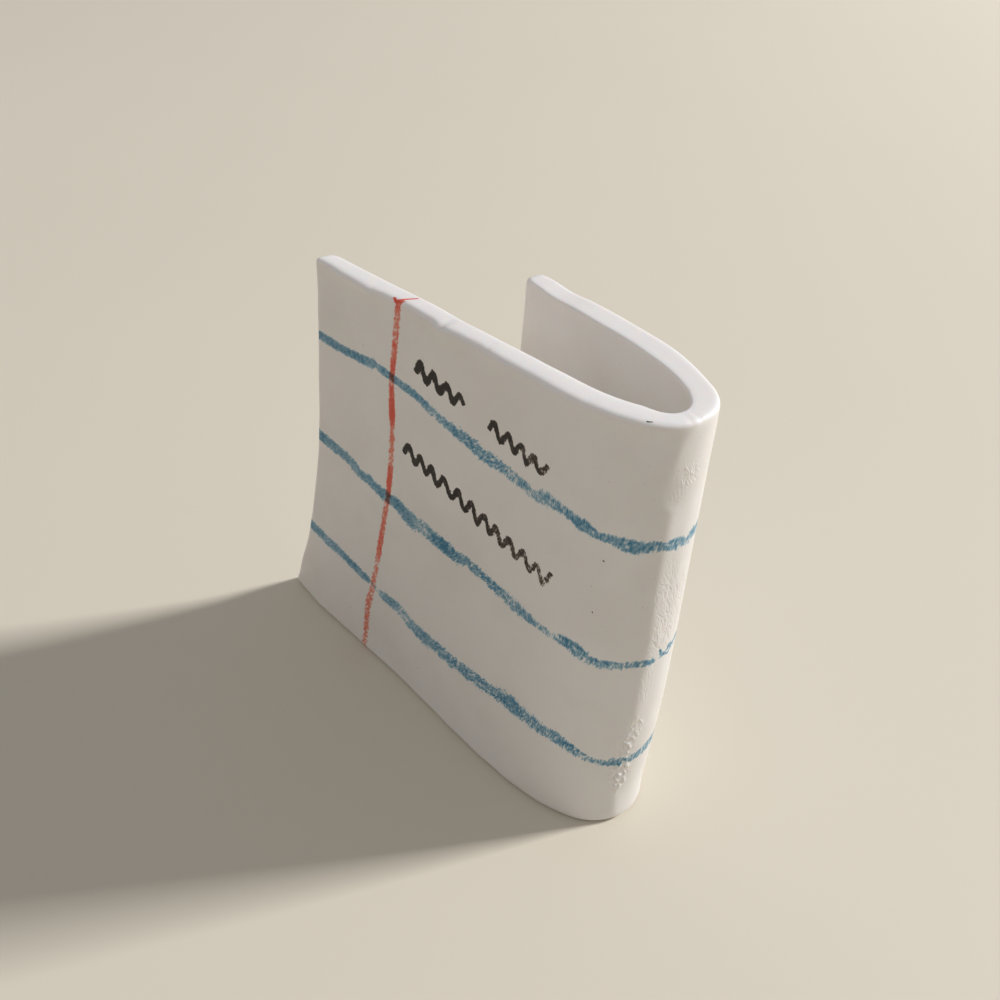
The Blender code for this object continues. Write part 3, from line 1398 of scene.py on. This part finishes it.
BLUE_STROKES = (
    Stroke((
        (-24.9, 28.43, 0.80, 0.90), (-24.5, 28.43, 0.83, 0.92), (-22.5, 28.45, 0.93, 0.85),
        (-21.5, 28.45, 0.80, 0.91), (-18.5, 28.67, 0.90, 0.85), (-17.5, 28.82, 0.93, 0.80),
        (-17.2, 28.82, 0.60, 0.62),
    )),
    Stroke((
        (-17.0, 28.78, 0.60, 0.69), (-16.5, 28.72, 0.80, 0.87), (-12.5, 28.35, 0.80, 0.82),
        (-11.5, 28.02, 0.95, 0.70), (-9.5, 27.68, 0.86, 0.70), (-8.5, 27.55, 1.15, 0.73),
        (-6.5, 27.35, 1.15, 0.78), (-5.5, 27.13, 1.23, 0.79), (-3.5, 27.13, 1.03, 0.72),
        (-0.5, 26.80, 0.92, 0.65), (0.5, 26.98, 1.26, 0.68), (1.5, 27.00, 0.92, 0.72),
        (2.5, 26.78, 0.80, 0.77), (3.5, 26.43, 1.00, 0.83), (4.5, 26.10, 0.69, 0.78),
        (5.5, 26.15, 0.89, 0.84), (6.5, 25.97, 1.15, 0.79), (7.5, 26.07, 0.84, 0.71),
        (8.5, 25.95, 1.03, 0.70), (9.5, 25.87, 0.92, 0.74), (10.5, 26.05, 1.03, 0.69),
        (13.0, 26.10, 0.70, 0.80), (17.0, 26.40, 0.85, 0.70), (22.0, 26.70, 0.95, 0.75),
        (27.0, 26.95, 0.85, 0.70), (32.2, 27.30, 0.80, 0.75),
    )),
    Stroke((
        (-25.3, 19.00, 1.15, 0.81), (-24.5, 18.93, 1.24, 0.84), (-21.5, 18.72, 1.14, 0.77),
        (-20.5, 18.48, 1.34, 0.75), (-19.5, 18.12, 1.00, 0.80), (-18.5, 18.18, 1.14, 0.81),
        (-17.5, 17.95, 1.14, 0.86), (-16.5, 17.87, 1.30, 0.86), (-15.5, 17.83, 1.07, 0.87),
        (-14.5, 17.83, 1.38, 0.91), (-13.5, 17.45, 1.64, 0.79), (-12.5, 17.40, 1.61, 0.78),
        (-11.5, 17.47, 1.61, 0.63), (-9.5, 17.33, 1.30, 1.00), (-8.5, 17.28, 1.34, 1.00),
        (-7.5, 17.23, 1.23, 0.83), (-6.5, 17.48, 1.03, 0.72), (-5.5, 17.37, 1.15, 0.76),
        (-4.5, 17.43, 1.00, 0.78), (-3.5, 17.13, 1.00, 0.84), (-2.5, 17.17, 1.00, 0.76),
        (-1.5, 16.97, 1.23, 0.66), (-0.5, 16.88, 1.11, 0.79), (1.5, 16.75, 0.69, 0.63),
        (2.5, 16.65, 0.80, 0.59), (3.5, 16.68, 1.03, 0.92), (4.5, 16.28, 1.15, 0.69),
        (5.5, 15.93, 0.84, 0.78), (7.5, 16.27, 0.69, 0.72), (8.5, 16.30, 0.61, 0.76),
        (8.8, 16.33, 0.45, 0.45),
    )),
    Stroke((
        (9.1, 16.85, 0.20, 0.95), (9.3, 16.50, 0.26, 0.95), (9.7, 16.20, 0.20, 0.85),
    )),
    Stroke((
        (9.3, 16.45, 0.50, 0.62), (10.5, 16.85, 0.75, 0.62), (13.5, 16.90, 0.70, 0.80),
        (18.0, 17.10, 0.90, 0.70), (24.0, 17.40, 0.95, 0.78), (32.2, 17.90, 0.85, 0.70),
    )),
    Stroke((
        (-28.3, 8.75, 1.15, 0.73), (-26.5, 8.65, 1.27, 0.77), (-24.5, 8.43, 1.31, 0.73),
        (-23.5, 8.43, 1.24, 0.76), (-21.5, 8.27, 1.11, 0.80), (-19.5, 8.03, 1.11, 0.81),
        (-18.5, 8.02, 0.93, 0.78), (-18.1, 7.95, 0.60, 0.53),
    )),
    Stroke((
        (-17.0, 7.68, 0.60, 0.53), (-16.5, 7.65, 1.18, 0.64), (-15.5, 7.68, 1.26, 0.79),
        (-14.5, 7.75, 1.41, 0.71), (-13.5, 7.55, 1.49, 0.60), (-12.5, 7.22, 1.49, 0.68),
        (-11.5, 7.08, 1.49, 0.74), (-10.5, 7.07, 1.53, 0.84), (-9.5, 7.17, 1.30, 0.73),
        (-8.5, 7.13, 1.46, 0.78), (-7.5, 7.10, 1.38, 0.73), (-6.5, 7.18, 1.26, 0.73),
        (-5.5, 7.27, 1.46, 0.78), (-4.5, 7.38, 1.41, 0.70), (-3.5, 7.52, 1.41, 0.78),
        (-2.5, 7.63, 1.15, 0.76), (-0.5, 8.03, 1.76, 0.87), (0.5, 7.93, 1.46, 0.83),
        (1.5, 7.92, 1.49, 0.71), (2.5, 7.72, 1.26, 0.79), (3.5, 7.70, 1.15, 0.79),
        (4.5, 7.38, 1.03, 0.83), (5.5, 7.03, 0.84, 0.67), (6.5, 6.68, 0.66, 0.69),
        (7.5, 6.77, 0.92, 0.71), (8.5, 6.75, 0.80, 0.71), (10.5, 7.25, 1.18, 0.69),
        (14.0, 7.60, 0.85, 0.70), (20.0, 7.90, 1.00, 0.75), (26.0, 8.30, 0.95, 0.68),
        (32.2, 8.80, 0.85, 0.75),
    )),
)
RED_STROKES = (
    Stroke((
        (-14.75, 34.95, 0.55, 0.80), (-14.80, 33.60, 0.66, 0.54), (-15.05, 31.60, 0.70, 0.62),
        (-15.30, 29.60, 0.62, 0.84), (-15.45, 28.50, 0.60, 0.70),
    )),
    Stroke((
        (-15.45, 28.00, 0.62, 0.72), (-15.44, 27.00, 0.68, 0.92), (-15.42, 25.60, 0.72, 0.95),
        (-15.40, 24.70, 0.68, 0.80), (-15.40, 24.30, 0.50, 0.50), (-15.40, 23.60, 0.68, 0.72),
        (-15.45, 22.90, 0.68, 0.58), (-15.50, 21.60, 0.68, 0.60), (-15.70, 19.60, 0.68, 0.88),
        (-15.85, 18.20, 0.68, 0.72), (-16.15, 16.60, 0.70, 0.58), (-16.50, 14.60, 0.68, 0.62),
        (-16.90, 12.60, 0.68, 0.80), (-17.25, 10.60, 0.74, 0.46), (-17.70, 8.60, 0.76, 0.54),
        (-17.95, 7.40, 0.76, 0.50), (-18.15, 6.60, 0.78, 0.54), (-18.45, 5.60, 0.84, 0.60),
        (-18.70, 3.60, 0.80, 0.58), (-18.90, 1.60, 0.84, 0.50), (-19.10, 0.10, 0.84, 0.48),
    )),
    Stroke((
        (-15.35, 35.05, 0.18, 0.90), (-14.95, 34.85, 0.28, 1.00), (-14.82, 35.30, 0.24, 1.00),
        (-14.72, 36.10, 0.18, 0.95),
    )),
)
BLACK_STROKES = (
    PenWave((-12.6, 30.6), (-7.9, 30.0), 3.5, 1.15, 0.46, (1.0, 0.92), 5).stroke(),
    PenWave((-5.0, 29.6), (0.3, 28.9), 4.0, 1.10, 0.44, (0.90, 0.55), 9).stroke(),
    PenWave((-13.8, 23.3), (1.6, 20.9), 11.0, 1.20, 0.46, (1.0, 0.50), 14).stroke(),
    Stroke(((5.06, 24.36, 0.09, 0.8), (5.12, 24.30, 0.09, 0.8))),
    Stroke(((4.86, 20.05, 0.10, 1.0), (4.92, 19.95, 0.10, 1.0))),
    Stroke(((4.60, 22.10, 0.08, 1.0), (4.63, 22.05, 0.08, 1.0))),
    Stroke(((-2.00, 24.90, 0.08, 1.0), (-1.97, 24.85, 0.08, 1.0))),
    Stroke(((-11.10, 33.60, 0.08, 1.0), (-11.05, 33.55, 0.08, 1.0))),
    Stroke(((6.15, 35.08, 0.10, 0.9), (6.38, 35.12, 0.07, 0.7))),
    Stroke(((-1.25, 34.86, 0.07, 0.7), (-1.20, 34.84, 0.07, 0.7))),
)


@dataclass(frozen=True)
class SheetMarks:
    """All marks on the sheet: three blue lines, a red margin, black waves and specks."""

    blue: tuple[Stroke, ...] = BLUE_STROKES
    red: tuple[Stroke, ...] = RED_STROKES
    black: tuple[Stroke, ...] = BLACK_STROKES


def make_stroke_curves(name: str, strokes: Sequence[Stroke]) -> bpy.types.Object:
    """Make one curve object of strokes in the plane of the unrolled sheet.

    Args:
        name: the object's name.
        strokes: the strokes.

    Returns:
        The object. A point's radius is half the stroke's width, and its tilt is the pressure.
    """
    curve = bpy.data.curves.new(name, "CURVE")
    curve.dimensions = "3D"
    for stroke in strokes:
        spline = curve.splines.new("POLY")
        spline.points.add(len(stroke.points) - 1)
        for point, (along, height, width, pressure) in zip(spline.points, stroke.points):
            point.co = (along * MM, height * MM, 0.0, 1.0)
            point.radius = width * MM / 2.0
            point.tilt = pressure
    return put_in_scene(name, curve)


# ---- Finishes ----


@dataclass(frozen=True)
class Grain:
    """One layer of noise: the size of its waves, which noise it is, and how fine it goes."""

    size: float
    seed: float
    detail: float = 2.0

    def at(self, graph: NodeGraph, place: Signal, seed: float = 0.0) -> Signal:
        """Return the layer's noise at a place, for one of several seeds."""
        return graph.noise(place, self.size, self.seed + seed, self.detail)


@dataclass(frozen=True)
class PencilFinish:
    """How one pencil marks the clay: its colours, its grains and the way that they lean.

    The pencil's seed is added to each layer's own.
    """

    pigment: Pigment
    thin_colour: Colour
    dense_colour: Colour
    grain: tuple[float, float]
    lean: float
    lean_at_fold: float
    streak_share: float
    load: float
    patchiness: float
    softness: float
    ragged: float
    roughness: float
    seed: float
    swirl: Grain = Grain(1.1 * MM, 2.0, 1.0)
    swirl_reach: float = 0.5 * MM
    streaks: Grain = Grain(1.0, 0.0)
    crumbs: Grain = Grain(0.30 * MM, 3.0)
    wander: Grain = Grain(0.50 * MM, 5.0)
    patches: Grain = Grain(1.0 * MM, 9.0, 1.0)
    grain_cut: tuple[float, float] = (0.27, 0.73)
    edge_fade: tuple[float, float] = (1.55, 0.45)
    farthest: float = 2.0
    mask_cut: tuple[float, float] = (-0.13, 0.20)
    density_cut: tuple[float, float] = (0.0, 0.70)
    fold_turn: tuple[float, float] = (-4.0 * MM, 5.0 * MM)
    loosening: tuple[float, float] = (-14.0 * MM, -4.0 * MM)

    def coverage(self, graph: NodeGraph, place: Signal) -> tuple[Signal, Signal]:
        """Return where the pencil marked the sheet and how densely.

        Args:
            graph: the material's graph.
            place: the place on the unrolled sheet.

        Returns:
            A mask, and the density of the pigment inside it.
        """
        across, distance, pressure = graph.split(graph.attribute(self.pigment.value))
        along, up, _ = graph.split(place)

        turn = along.ramp(*self.fold_turn) * (self.lean_at_fold - self.lean) + self.lean
        swirl = self.swirl.at(graph, place, self.seed) * self.swirl_reach
        grain_along = along * turn.cosine() + up * turn.sine() + swirl
        grain_across = up * turn.cosine() - along * turn.sine() + swirl
        grain_place = graph.stretched(grain_along, grain_across, self.grain)
        streaks = self.streaks.at(graph, grain_place, self.seed).ramp(*self.grain_cut)
        crumbs = self.crumbs.at(graph, place, self.seed).ramp(*self.grain_cut)
        grain = streaks * self.streak_share + crumbs * (1.0 - self.streak_share)
        contrast = 1.0 - self.softness + along.ramp(*self.loosening) * self.softness
        grain = NOISE_MIDDLE + (grain - NOISE_MIDDLE) * contrast

        wander = self.wander.at(graph, place, self.seed)
        edge = abs(across) + (wander - NOISE_MIDDLE) * self.ragged
        body = edge.ramp(*self.edge_fade) * (distance < self.farthest)
        patches = self.patches.at(graph, place, self.seed)
        press = pressure * self.load + (patches - NOISE_MIDDLE) * self.patchiness
        cover = press * body - grain
        return cover.ramp(*self.mask_cut), cover.ramp(*self.density_cut)


@dataclass(frozen=True)
class ClayFinish:
    """White hand-worked clay with pencil on it."""

    colour: Colour = (0.80, 0.772, 0.740)
    # Painted highlight: the top edge is painted paler than the clay, standing in for light glowing
    # through its thin edge and falling on its round
    rim_highlight_colour: Colour = (0.850, 0.830, 0.825)
    stain_colour: Colour = (0.735, 0.690, 0.640)
    speck_colour: Colour = (0.40, 0.33, 0.27)
    roughness: float = 0.47
    specular: float = 0.42
    translucency: float = 0.35
    light_reach: Colour = (1.00 * MM, 0.75 * MM, 0.55 * MM)
    rim_highlight_fade: tuple[float, float] = (34.60 * MM, 34.95 * MM)
    rim_highlight_side: tuple[float, float] = (-1.0, -0.9)
    outer_fade: tuple[float, float] = (0.3, 0.9)

    stains: Grain = Grain(5.5 * MM, 2.0, 3.0)
    stain_cut: tuple[float, float] = (0.40, 0.75)
    stain_strength: float = 0.55
    speck_spacing: float = 1.9 * MM
    speck_edge: tuple[float, float] = (0.040, 0.022)
    speck_rarity: float = 0.80
    speck_strength: float = 0.8

    polish: Grain = Grain(2.6 * MM, 5.0, 3.0)
    polish_cut: tuple[float, float] = (0.35, 0.70)
    roughness_unpolished: float = 0.06
    roughness_polished: float = 0.13
    roughness_pressed: float = 0.22

    tooth: Grain = Grain(0.22 * MM, 8.0)
    tooth_height: float = 0.0045 * MM
    pats: Grain = Grain(0.9 * MM, 12.0)
    pat_height: float = 0.010 * MM
    wrinkles: Grain = Grain(1.0, 17.0)
    wrinkle_size: tuple[float, float] = (0.85 * MM, 0.24 * MM)
    wrinkle_warp: Grain = Grain(0.9 * MM, 15.0, 1.0)
    wrinkle_warp_reach: float = 1.5
    wrinkle_sharpness: float = 0.22
    wrinkle_height: float = 0.034 * MM
    bumps: Grain = Grain(1.0, 27.0, 1.0)
    bump_cut: tuple[float, float] = (0.50, 0.70)
    bump_height: float = 0.060 * MM
    scratches: Grain = Grain(1.0, 23.0, 1.0)
    scratch_size: tuple[float, float] = (2.2 * MM, 0.16 * MM)
    scratch_slope: tuple[float, float] = (0.8, 0.6)
    scratch_cut: tuple[float, float] = (0.66, 0.80)
    scratch_depth: float = 0.008 * MM
    pencil_height: float = 0.012 * MM
    pencils: tuple[PencilFinish, ...] = (
        PencilFinish(
            Pigment.BLUE,
            thin_colour=(0.40, 0.62, 0.75),
            dense_colour=(0.050, 0.245, 0.425),
            grain=(0.55 * MM, 0.15 * MM),
            lean=math.radians(42.0),
            lean_at_fold=math.radians(80.0),
            streak_share=0.62,
            load=1.05,
            patchiness=0.50,
            softness=0.50,
            ragged=0.6,
            roughness=0.62,
            seed=31.0,
        ),
        PencilFinish(
            Pigment.RED,
            thin_colour=(0.95, 0.42, 0.32),
            dense_colour=(0.88, 0.130, 0.085),
            grain=(0.55 * MM, 0.15 * MM),
            lean=math.radians(52.0),
            lean_at_fold=math.radians(52.0),
            streak_share=0.65,
            load=1.30,
            patchiness=0.6,
            softness=0.30,
            ragged=0.5,
            roughness=0.60,
            seed=53.0,
        ),
        PencilFinish(
            Pigment.BLACK,
            thin_colour=(0.16, 0.12, 0.10),
            dense_colour=(0.022, 0.017, 0.014),
            grain=(0.35 * MM, 0.12 * MM),
            lean=math.radians(55.0),
            lean_at_fold=math.radians(75.0),
            streak_share=0.5,
            load=1.45,
            patchiness=0.5,
            softness=0.0,
            ragged=0.55,
            roughness=0.55,
            seed=71.0,
        ),
    )

    def material(self, name: str) -> bpy.types.Material:
        """Make the material.

        Args:
            name: its name.

        Returns:
            The material.
        """
        material = bpy.data.materials.new(name)
        graph = empty_graph(material)
        solid = graph.add("ShaderNodeTexCoord", output="Object")
        along, up, side = graph.split(graph.attribute(PLACE_ATTRIBUTE))
        place = graph.vector(along, up, 0.0)

        # Where the top edge gets its painted highlight
        on_rim = up.ramp(*self.rim_highlight_fade) * side.ramp(*self.rim_highlight_side)
        colour = self._clay_colour(graph, solid, on_rim)
        roughness = self._clay_roughness(graph, solid, along, up)
        relief = self._clay_relief(graph, solid, place, side)
        for pencil in self.pencils:
            mask, density = pencil.coverage(graph, place)
            tint = graph.mix(density, pencil.thin_colour, pencil.dense_colour)
            colour = graph.mix(mask, colour, tint, "MULTIPLY")
            roughness = roughness + mask * (pencil.roughness - self.roughness)
            relief = relief + mask * density * self.pencil_height

        bump = graph.add(
            "ShaderNodeBump", inputs={"Strength": 1.0, "Distance": 1.0, "Height": relief}
        )
        shader = graph.add(
            "ShaderNodeBsdfPrincipled",
            inputs={
                "Base Color": colour,
                "Roughness": roughness,
                "Specular IOR Level": self.specular,
                "Subsurface Weight": self.translucency,
                "Subsurface Radius": self.light_reach,
                "Subsurface Scale": 1.0,
                "Normal": bump,
            },
        )
        graph.add("ShaderNodeOutputMaterial", inputs={"Surface": shader})
        return material

    def _clay_colour(self, graph: NodeGraph, solid: Signal, on_rim: Signal) -> Signal:
        """Return the clay's colour: faint stains, a top edge painted paler as a painted highlight,
        and a few tiny specks.

        Args:
            graph: the material's graph.
            solid: the place in the part's frame.
            on_rim: how much a place belongs to the top edge, which gets the painted highlight.

        Returns:
            The colour.
        """
        stains = self.stains.at(graph, solid).ramp(*self.stain_cut)
        colour = graph.mix(stains * self.stain_strength, self.colour, self.stain_colour)
        # Painted highlight: the top edge is painted paler, for the light that glows through its
        # thin edge and lights its round
        colour = graph.mix(on_rim, colour, self.rim_highlight_colour)
        cells = graph.add(
            "ShaderNodeTexVoronoi",
            {"feature": "F1"},
            {"Vector": solid, "Scale": 1.0 / self.speck_spacing},
            output="Distance",
        )
        pick = graph.split(graph.sibling(cells, "Color"))[0]
        specks = cells.ramp(*self.speck_edge) * (pick > self.speck_rarity)
        return graph.mix(specks * self.speck_strength, colour, self.speck_colour)

    def _clay_roughness(
        self, graph: NodeGraph, solid: Signal, along: Signal, up: Signal
    ) -> Signal:
        """Return the clay's roughness, lower where fingers polished it.

        Args:
            graph: the material's graph.
            solid: the place in the part's frame.
            along: the distance along the sheet.
            up: the height.

        Returns:
            The roughness.
        """
        polish = self.polish.at(graph, solid).ramp(*self.polish_cut)
        pressed = strongest(SPECKLED, along, up)
        roughest = self.roughness + self.roughness_unpolished
        return roughest - polish * self.roughness_polished - pressed * self.roughness_pressed

    def _clay_relief(
        self, graph: NodeGraph, solid: Signal, place: Signal, side: Signal
    ) -> Signal:
        """Return the clay's fine relief: its tooth, pats, wrinkles, bumps and scratches.

        Args:
            graph: the material's graph.
            solid: the place in the part's frame.
            place: the place on the unrolled sheet.
            side: how far through the sheet it is, from 1 on the outer face to -1.

        Returns:
            The relief's height, in metres.
        """
        tooth = self.tooth.at(graph, solid) * self.tooth_height
        pats = self.pats.at(graph, solid) * self.pat_height

        along, up, _ = graph.split(place)
        across = along + up * CREASE_LEAN
        on_outer = side.ramp(*self.outer_fade)
        warp = self.wrinkle_warp.at(graph, place) * self.wrinkle_warp_reach
        wrinkle_place = graph.vector_math(
            "ADD", graph.stretched(up, across, self.wrinkle_size), graph.vector(warp, warp, 0.0)
        )
        wrinkles = abs(self.wrinkles.at(graph, wrinkle_place) - NOISE_MIDDLE)
        wrinkles = wrinkles.ramp(self.wrinkle_sharpness, 0.0) * self.wrinkle_height
        bumps = self.bumps.at(graph, graph.stretched(up, across, SPECK_SIZE))
        bumps = bumps.ramp(*self.bump_cut) * self.bump_height
        hand_work = wrinkles * (strongest(WRINKLED, along, up) * on_outer)
        hand_work = hand_work + bumps * (strongest(SPECKLED, along, up) * on_outer)

        cosine, sine = self.scratch_slope
        scratch_place = graph.stretched(
            up * cosine + along * sine, up * sine - along * cosine, self.scratch_size
        )
        scratches = self.scratches.at(graph, scratch_place).ramp(*self.scratch_cut)
        return tooth + pats + hand_work - scratches * self.scratch_depth


# ---- The dressed sheet ----


@dataclass
class NoteSheet:
    """The folded note: the slab, bent, worked and marked."""

    sizes: SheetSizes = field(default_factory=SheetSizes)
    relief: SkinRelief = field(default_factory=SkinRelief)
    finish: ClayFinish = field(default_factory=ClayFinish)
    marks: SheetMarks = SheetMarks()
    name: str = "ruled_note_sheet"

    def build(self) -> Iterator[bpy.types.Object]:
        """Build the note and tie it to the CAD part.

        Yields:
            Its one piece.
        """
        material = self.finish.material("clay_with_pencil")
        sheet = FlatSlab(self.sizes).build(self.name)
        make_bend_tree(self.sizes).put_on(sheet, {"Material": material})
        make_skin_tree(self.relief).put_on(sheet, {"Material": material})
        mark_tree = make_mark_tree()
        helpers = []
        for pigment, strokes in (
            (Pigment.BLUE, self.marks.blue),
            (Pigment.RED, self.marks.red),
            (Pigment.BLACK, self.marks.black),
        ):
            curves = make_stroke_curves(f"{pigment.value}_path", strokes)
            helpers.append(curves)
            mark_tree.put_on(
                sheet, {"Material": material, "Strokes": curves, "Attribute": pigment.value}
            )
        apply_trees(sheet)
        for helper in helpers:
            bpy.data.curves.remove(helper.data)
        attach(sheet, CAD_BODY)
        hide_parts(CAD_NODE)
        yield sheet


# ---- Studio ----


@dataclass(frozen=True)
class SoftLamp:
    """A square area lamp that looks at the middle of the note."""

    name: str
    azimuth: float
    elevation: float
    distance: float
    size: float
    power: float
    colour: Colour

    def build(self, target: Vector) -> None:
        """Build the lamp.

        Args:
            target: the point that it looks at.
        """
        lamp = bpy.data.lights.new(self.name, "AREA")
        lamp.shape = "SQUARE"
        lamp.size = self.size
        lamp.energy = self.power
        lamp.color = self.colour
        direction = Vector(
            (
                math.cos(self.elevation) * math.cos(self.azimuth),
                math.cos(self.elevation) * math.sin(self.azimuth),
                math.sin(self.elevation),
            )
        )
        holder = put_in_scene(self.name, lamp)
        holder.location = target + direction * self.distance
        holder.rotation_euler = direction.to_track_quat("Z", "Y").to_euler()


@dataclass(frozen=True)
class Viewpoint:
    """The camera's place and turn, as the photograph was taken."""

    place: tuple[float, float, float] = (52.92 * MM, -48.67 * MM, 66.99 * MM)
    turn: float = math.radians(46.17)
    pitch: float = math.radians(34.03)
    roll: float = math.radians(5.27)
    lens: float = 40.39
    sensor: float = 36.0
    clip: tuple[float, float] = (1.0 * MM, 20.0)

    def build(self) -> None:
        """Build the camera and make it the scene's."""
        data = bpy.data.cameras.new("photo_camera")
        data.lens = self.lens
        data.sensor_width = self.sensor
        data.clip_start, data.clip_end = self.clip
        camera = put_in_scene("photo_camera", data)
        camera.matrix_world = (
            Matrix.Translation(self.place)
            @ Matrix.Rotation(self.turn, 4, "Z")
            @ Matrix.Rotation(math.pi / 2.0 - self.pitch, 4, "X")
            @ Matrix.Rotation(self.roll, 4, "Z")
        )
        bpy.context.scene.camera = camera


@dataclass(frozen=True)
class Studio:
    """A pale floor, soft lamps and the camera."""

    floor_size: float = 4.0
    floor_colour: Colour = (0.72, 0.665, 0.560)
    floor_cloud: Grain = Grain(60.0 * MM, 1.0, 2.0)
    floor_cloud_tone: float = 0.97
    floor_roughness: float = 0.6
    floor_specular: float = 0.25
    sky_colour: Colour = (0.98, 0.98, 1.0)
    sky_strength: float = 0.32
    target: tuple[float, float, float] = (0.0, 0.0, 15.0 * MM)
    lamps: tuple[SoftLamp, ...] = (
        SoftLamp(
            "key_lamp",
            azimuth=math.radians(65.0),
            elevation=math.radians(33.0),
            distance=1.50,
            size=0.20,
            power=23.0,
            colour=(1.0, 0.99, 0.98),
        ),
        SoftLamp(
            "fill_lamp",
            azimuth=math.radians(-112.0),
            elevation=math.radians(42.0),
            distance=1.60,
            size=1.60,
            power=2.4,
            colour=(1.0, 0.93, 0.84),
        ),
    )

    def build(self) -> None:
        """Build the floor, the world, the lamps and the camera."""
        scene = bpy.context.scene
        scene.view_settings.view_transform = "Standard"
        self._floor()
        self._world(scene)
        for lamp in self.lamps:
            lamp.build(Vector(self.target))
        Viewpoint().build()

    def _floor(self) -> None:
        """Build the floor."""
        half = self.floor_size / 2.0
        mesh = bpy.data.meshes.new("pale_floor")
        mesh.from_pydata(
            [(-half, -half, 0.0), (half, -half, 0.0), (half, half, 0.0), (-half, half, 0.0)],
            [],
            [(0, 1, 2, 3)],
        )
        material = bpy.data.materials.new("pale_floor")
        graph = empty_graph(material)
        solid = graph.add("ShaderNodeTexCoord", output="Object")
        clouded = tuple(value * self.floor_cloud_tone for value in self.floor_colour)
        tone = graph.mix(self.floor_cloud.at(graph, solid), self.floor_colour, clouded)
        shader = graph.add(
            "ShaderNodeBsdfPrincipled",
            inputs={
                "Base Color": tone,
                "Roughness": self.floor_roughness,
                "Specular IOR Level": self.floor_specular,
            },
        )
        graph.add("ShaderNodeOutputMaterial", inputs={"Surface": shader})
        mesh.materials.append(material)
        floor = put_in_scene("pale_floor", mesh)

    def _world(self, scene: bpy.types.Scene) -> None:
        """Give the world a soft even light.

        Args:
            scene: the scene.
        """
        world = bpy.data.worlds.new("soft_room")
        graph = empty_graph(world)
        background = graph.add(
            "ShaderNodeBackground",
            inputs={"Color": (*self.sky_colour, 1.0), "Strength": self.sky_strength},
        )
        graph.add("ShaderNodeOutputWorld", inputs={"Surface": background})
        scene.world = world


def main() -> None:
    """Build the studio and the note."""
    logging.basicConfig(level=logging.INFO, format="%(name)s: %(message)s")
    Studio().build()
    for piece in NoteSheet().build():
        triangles = sum(len(polygon.vertices) - 2 for polygon in piece.data.polygons)
        logger.info("%s: %d triangles, rides on %s", piece.name, triangles, CAD_BODY)


if __name__ == "__main__":
    main()
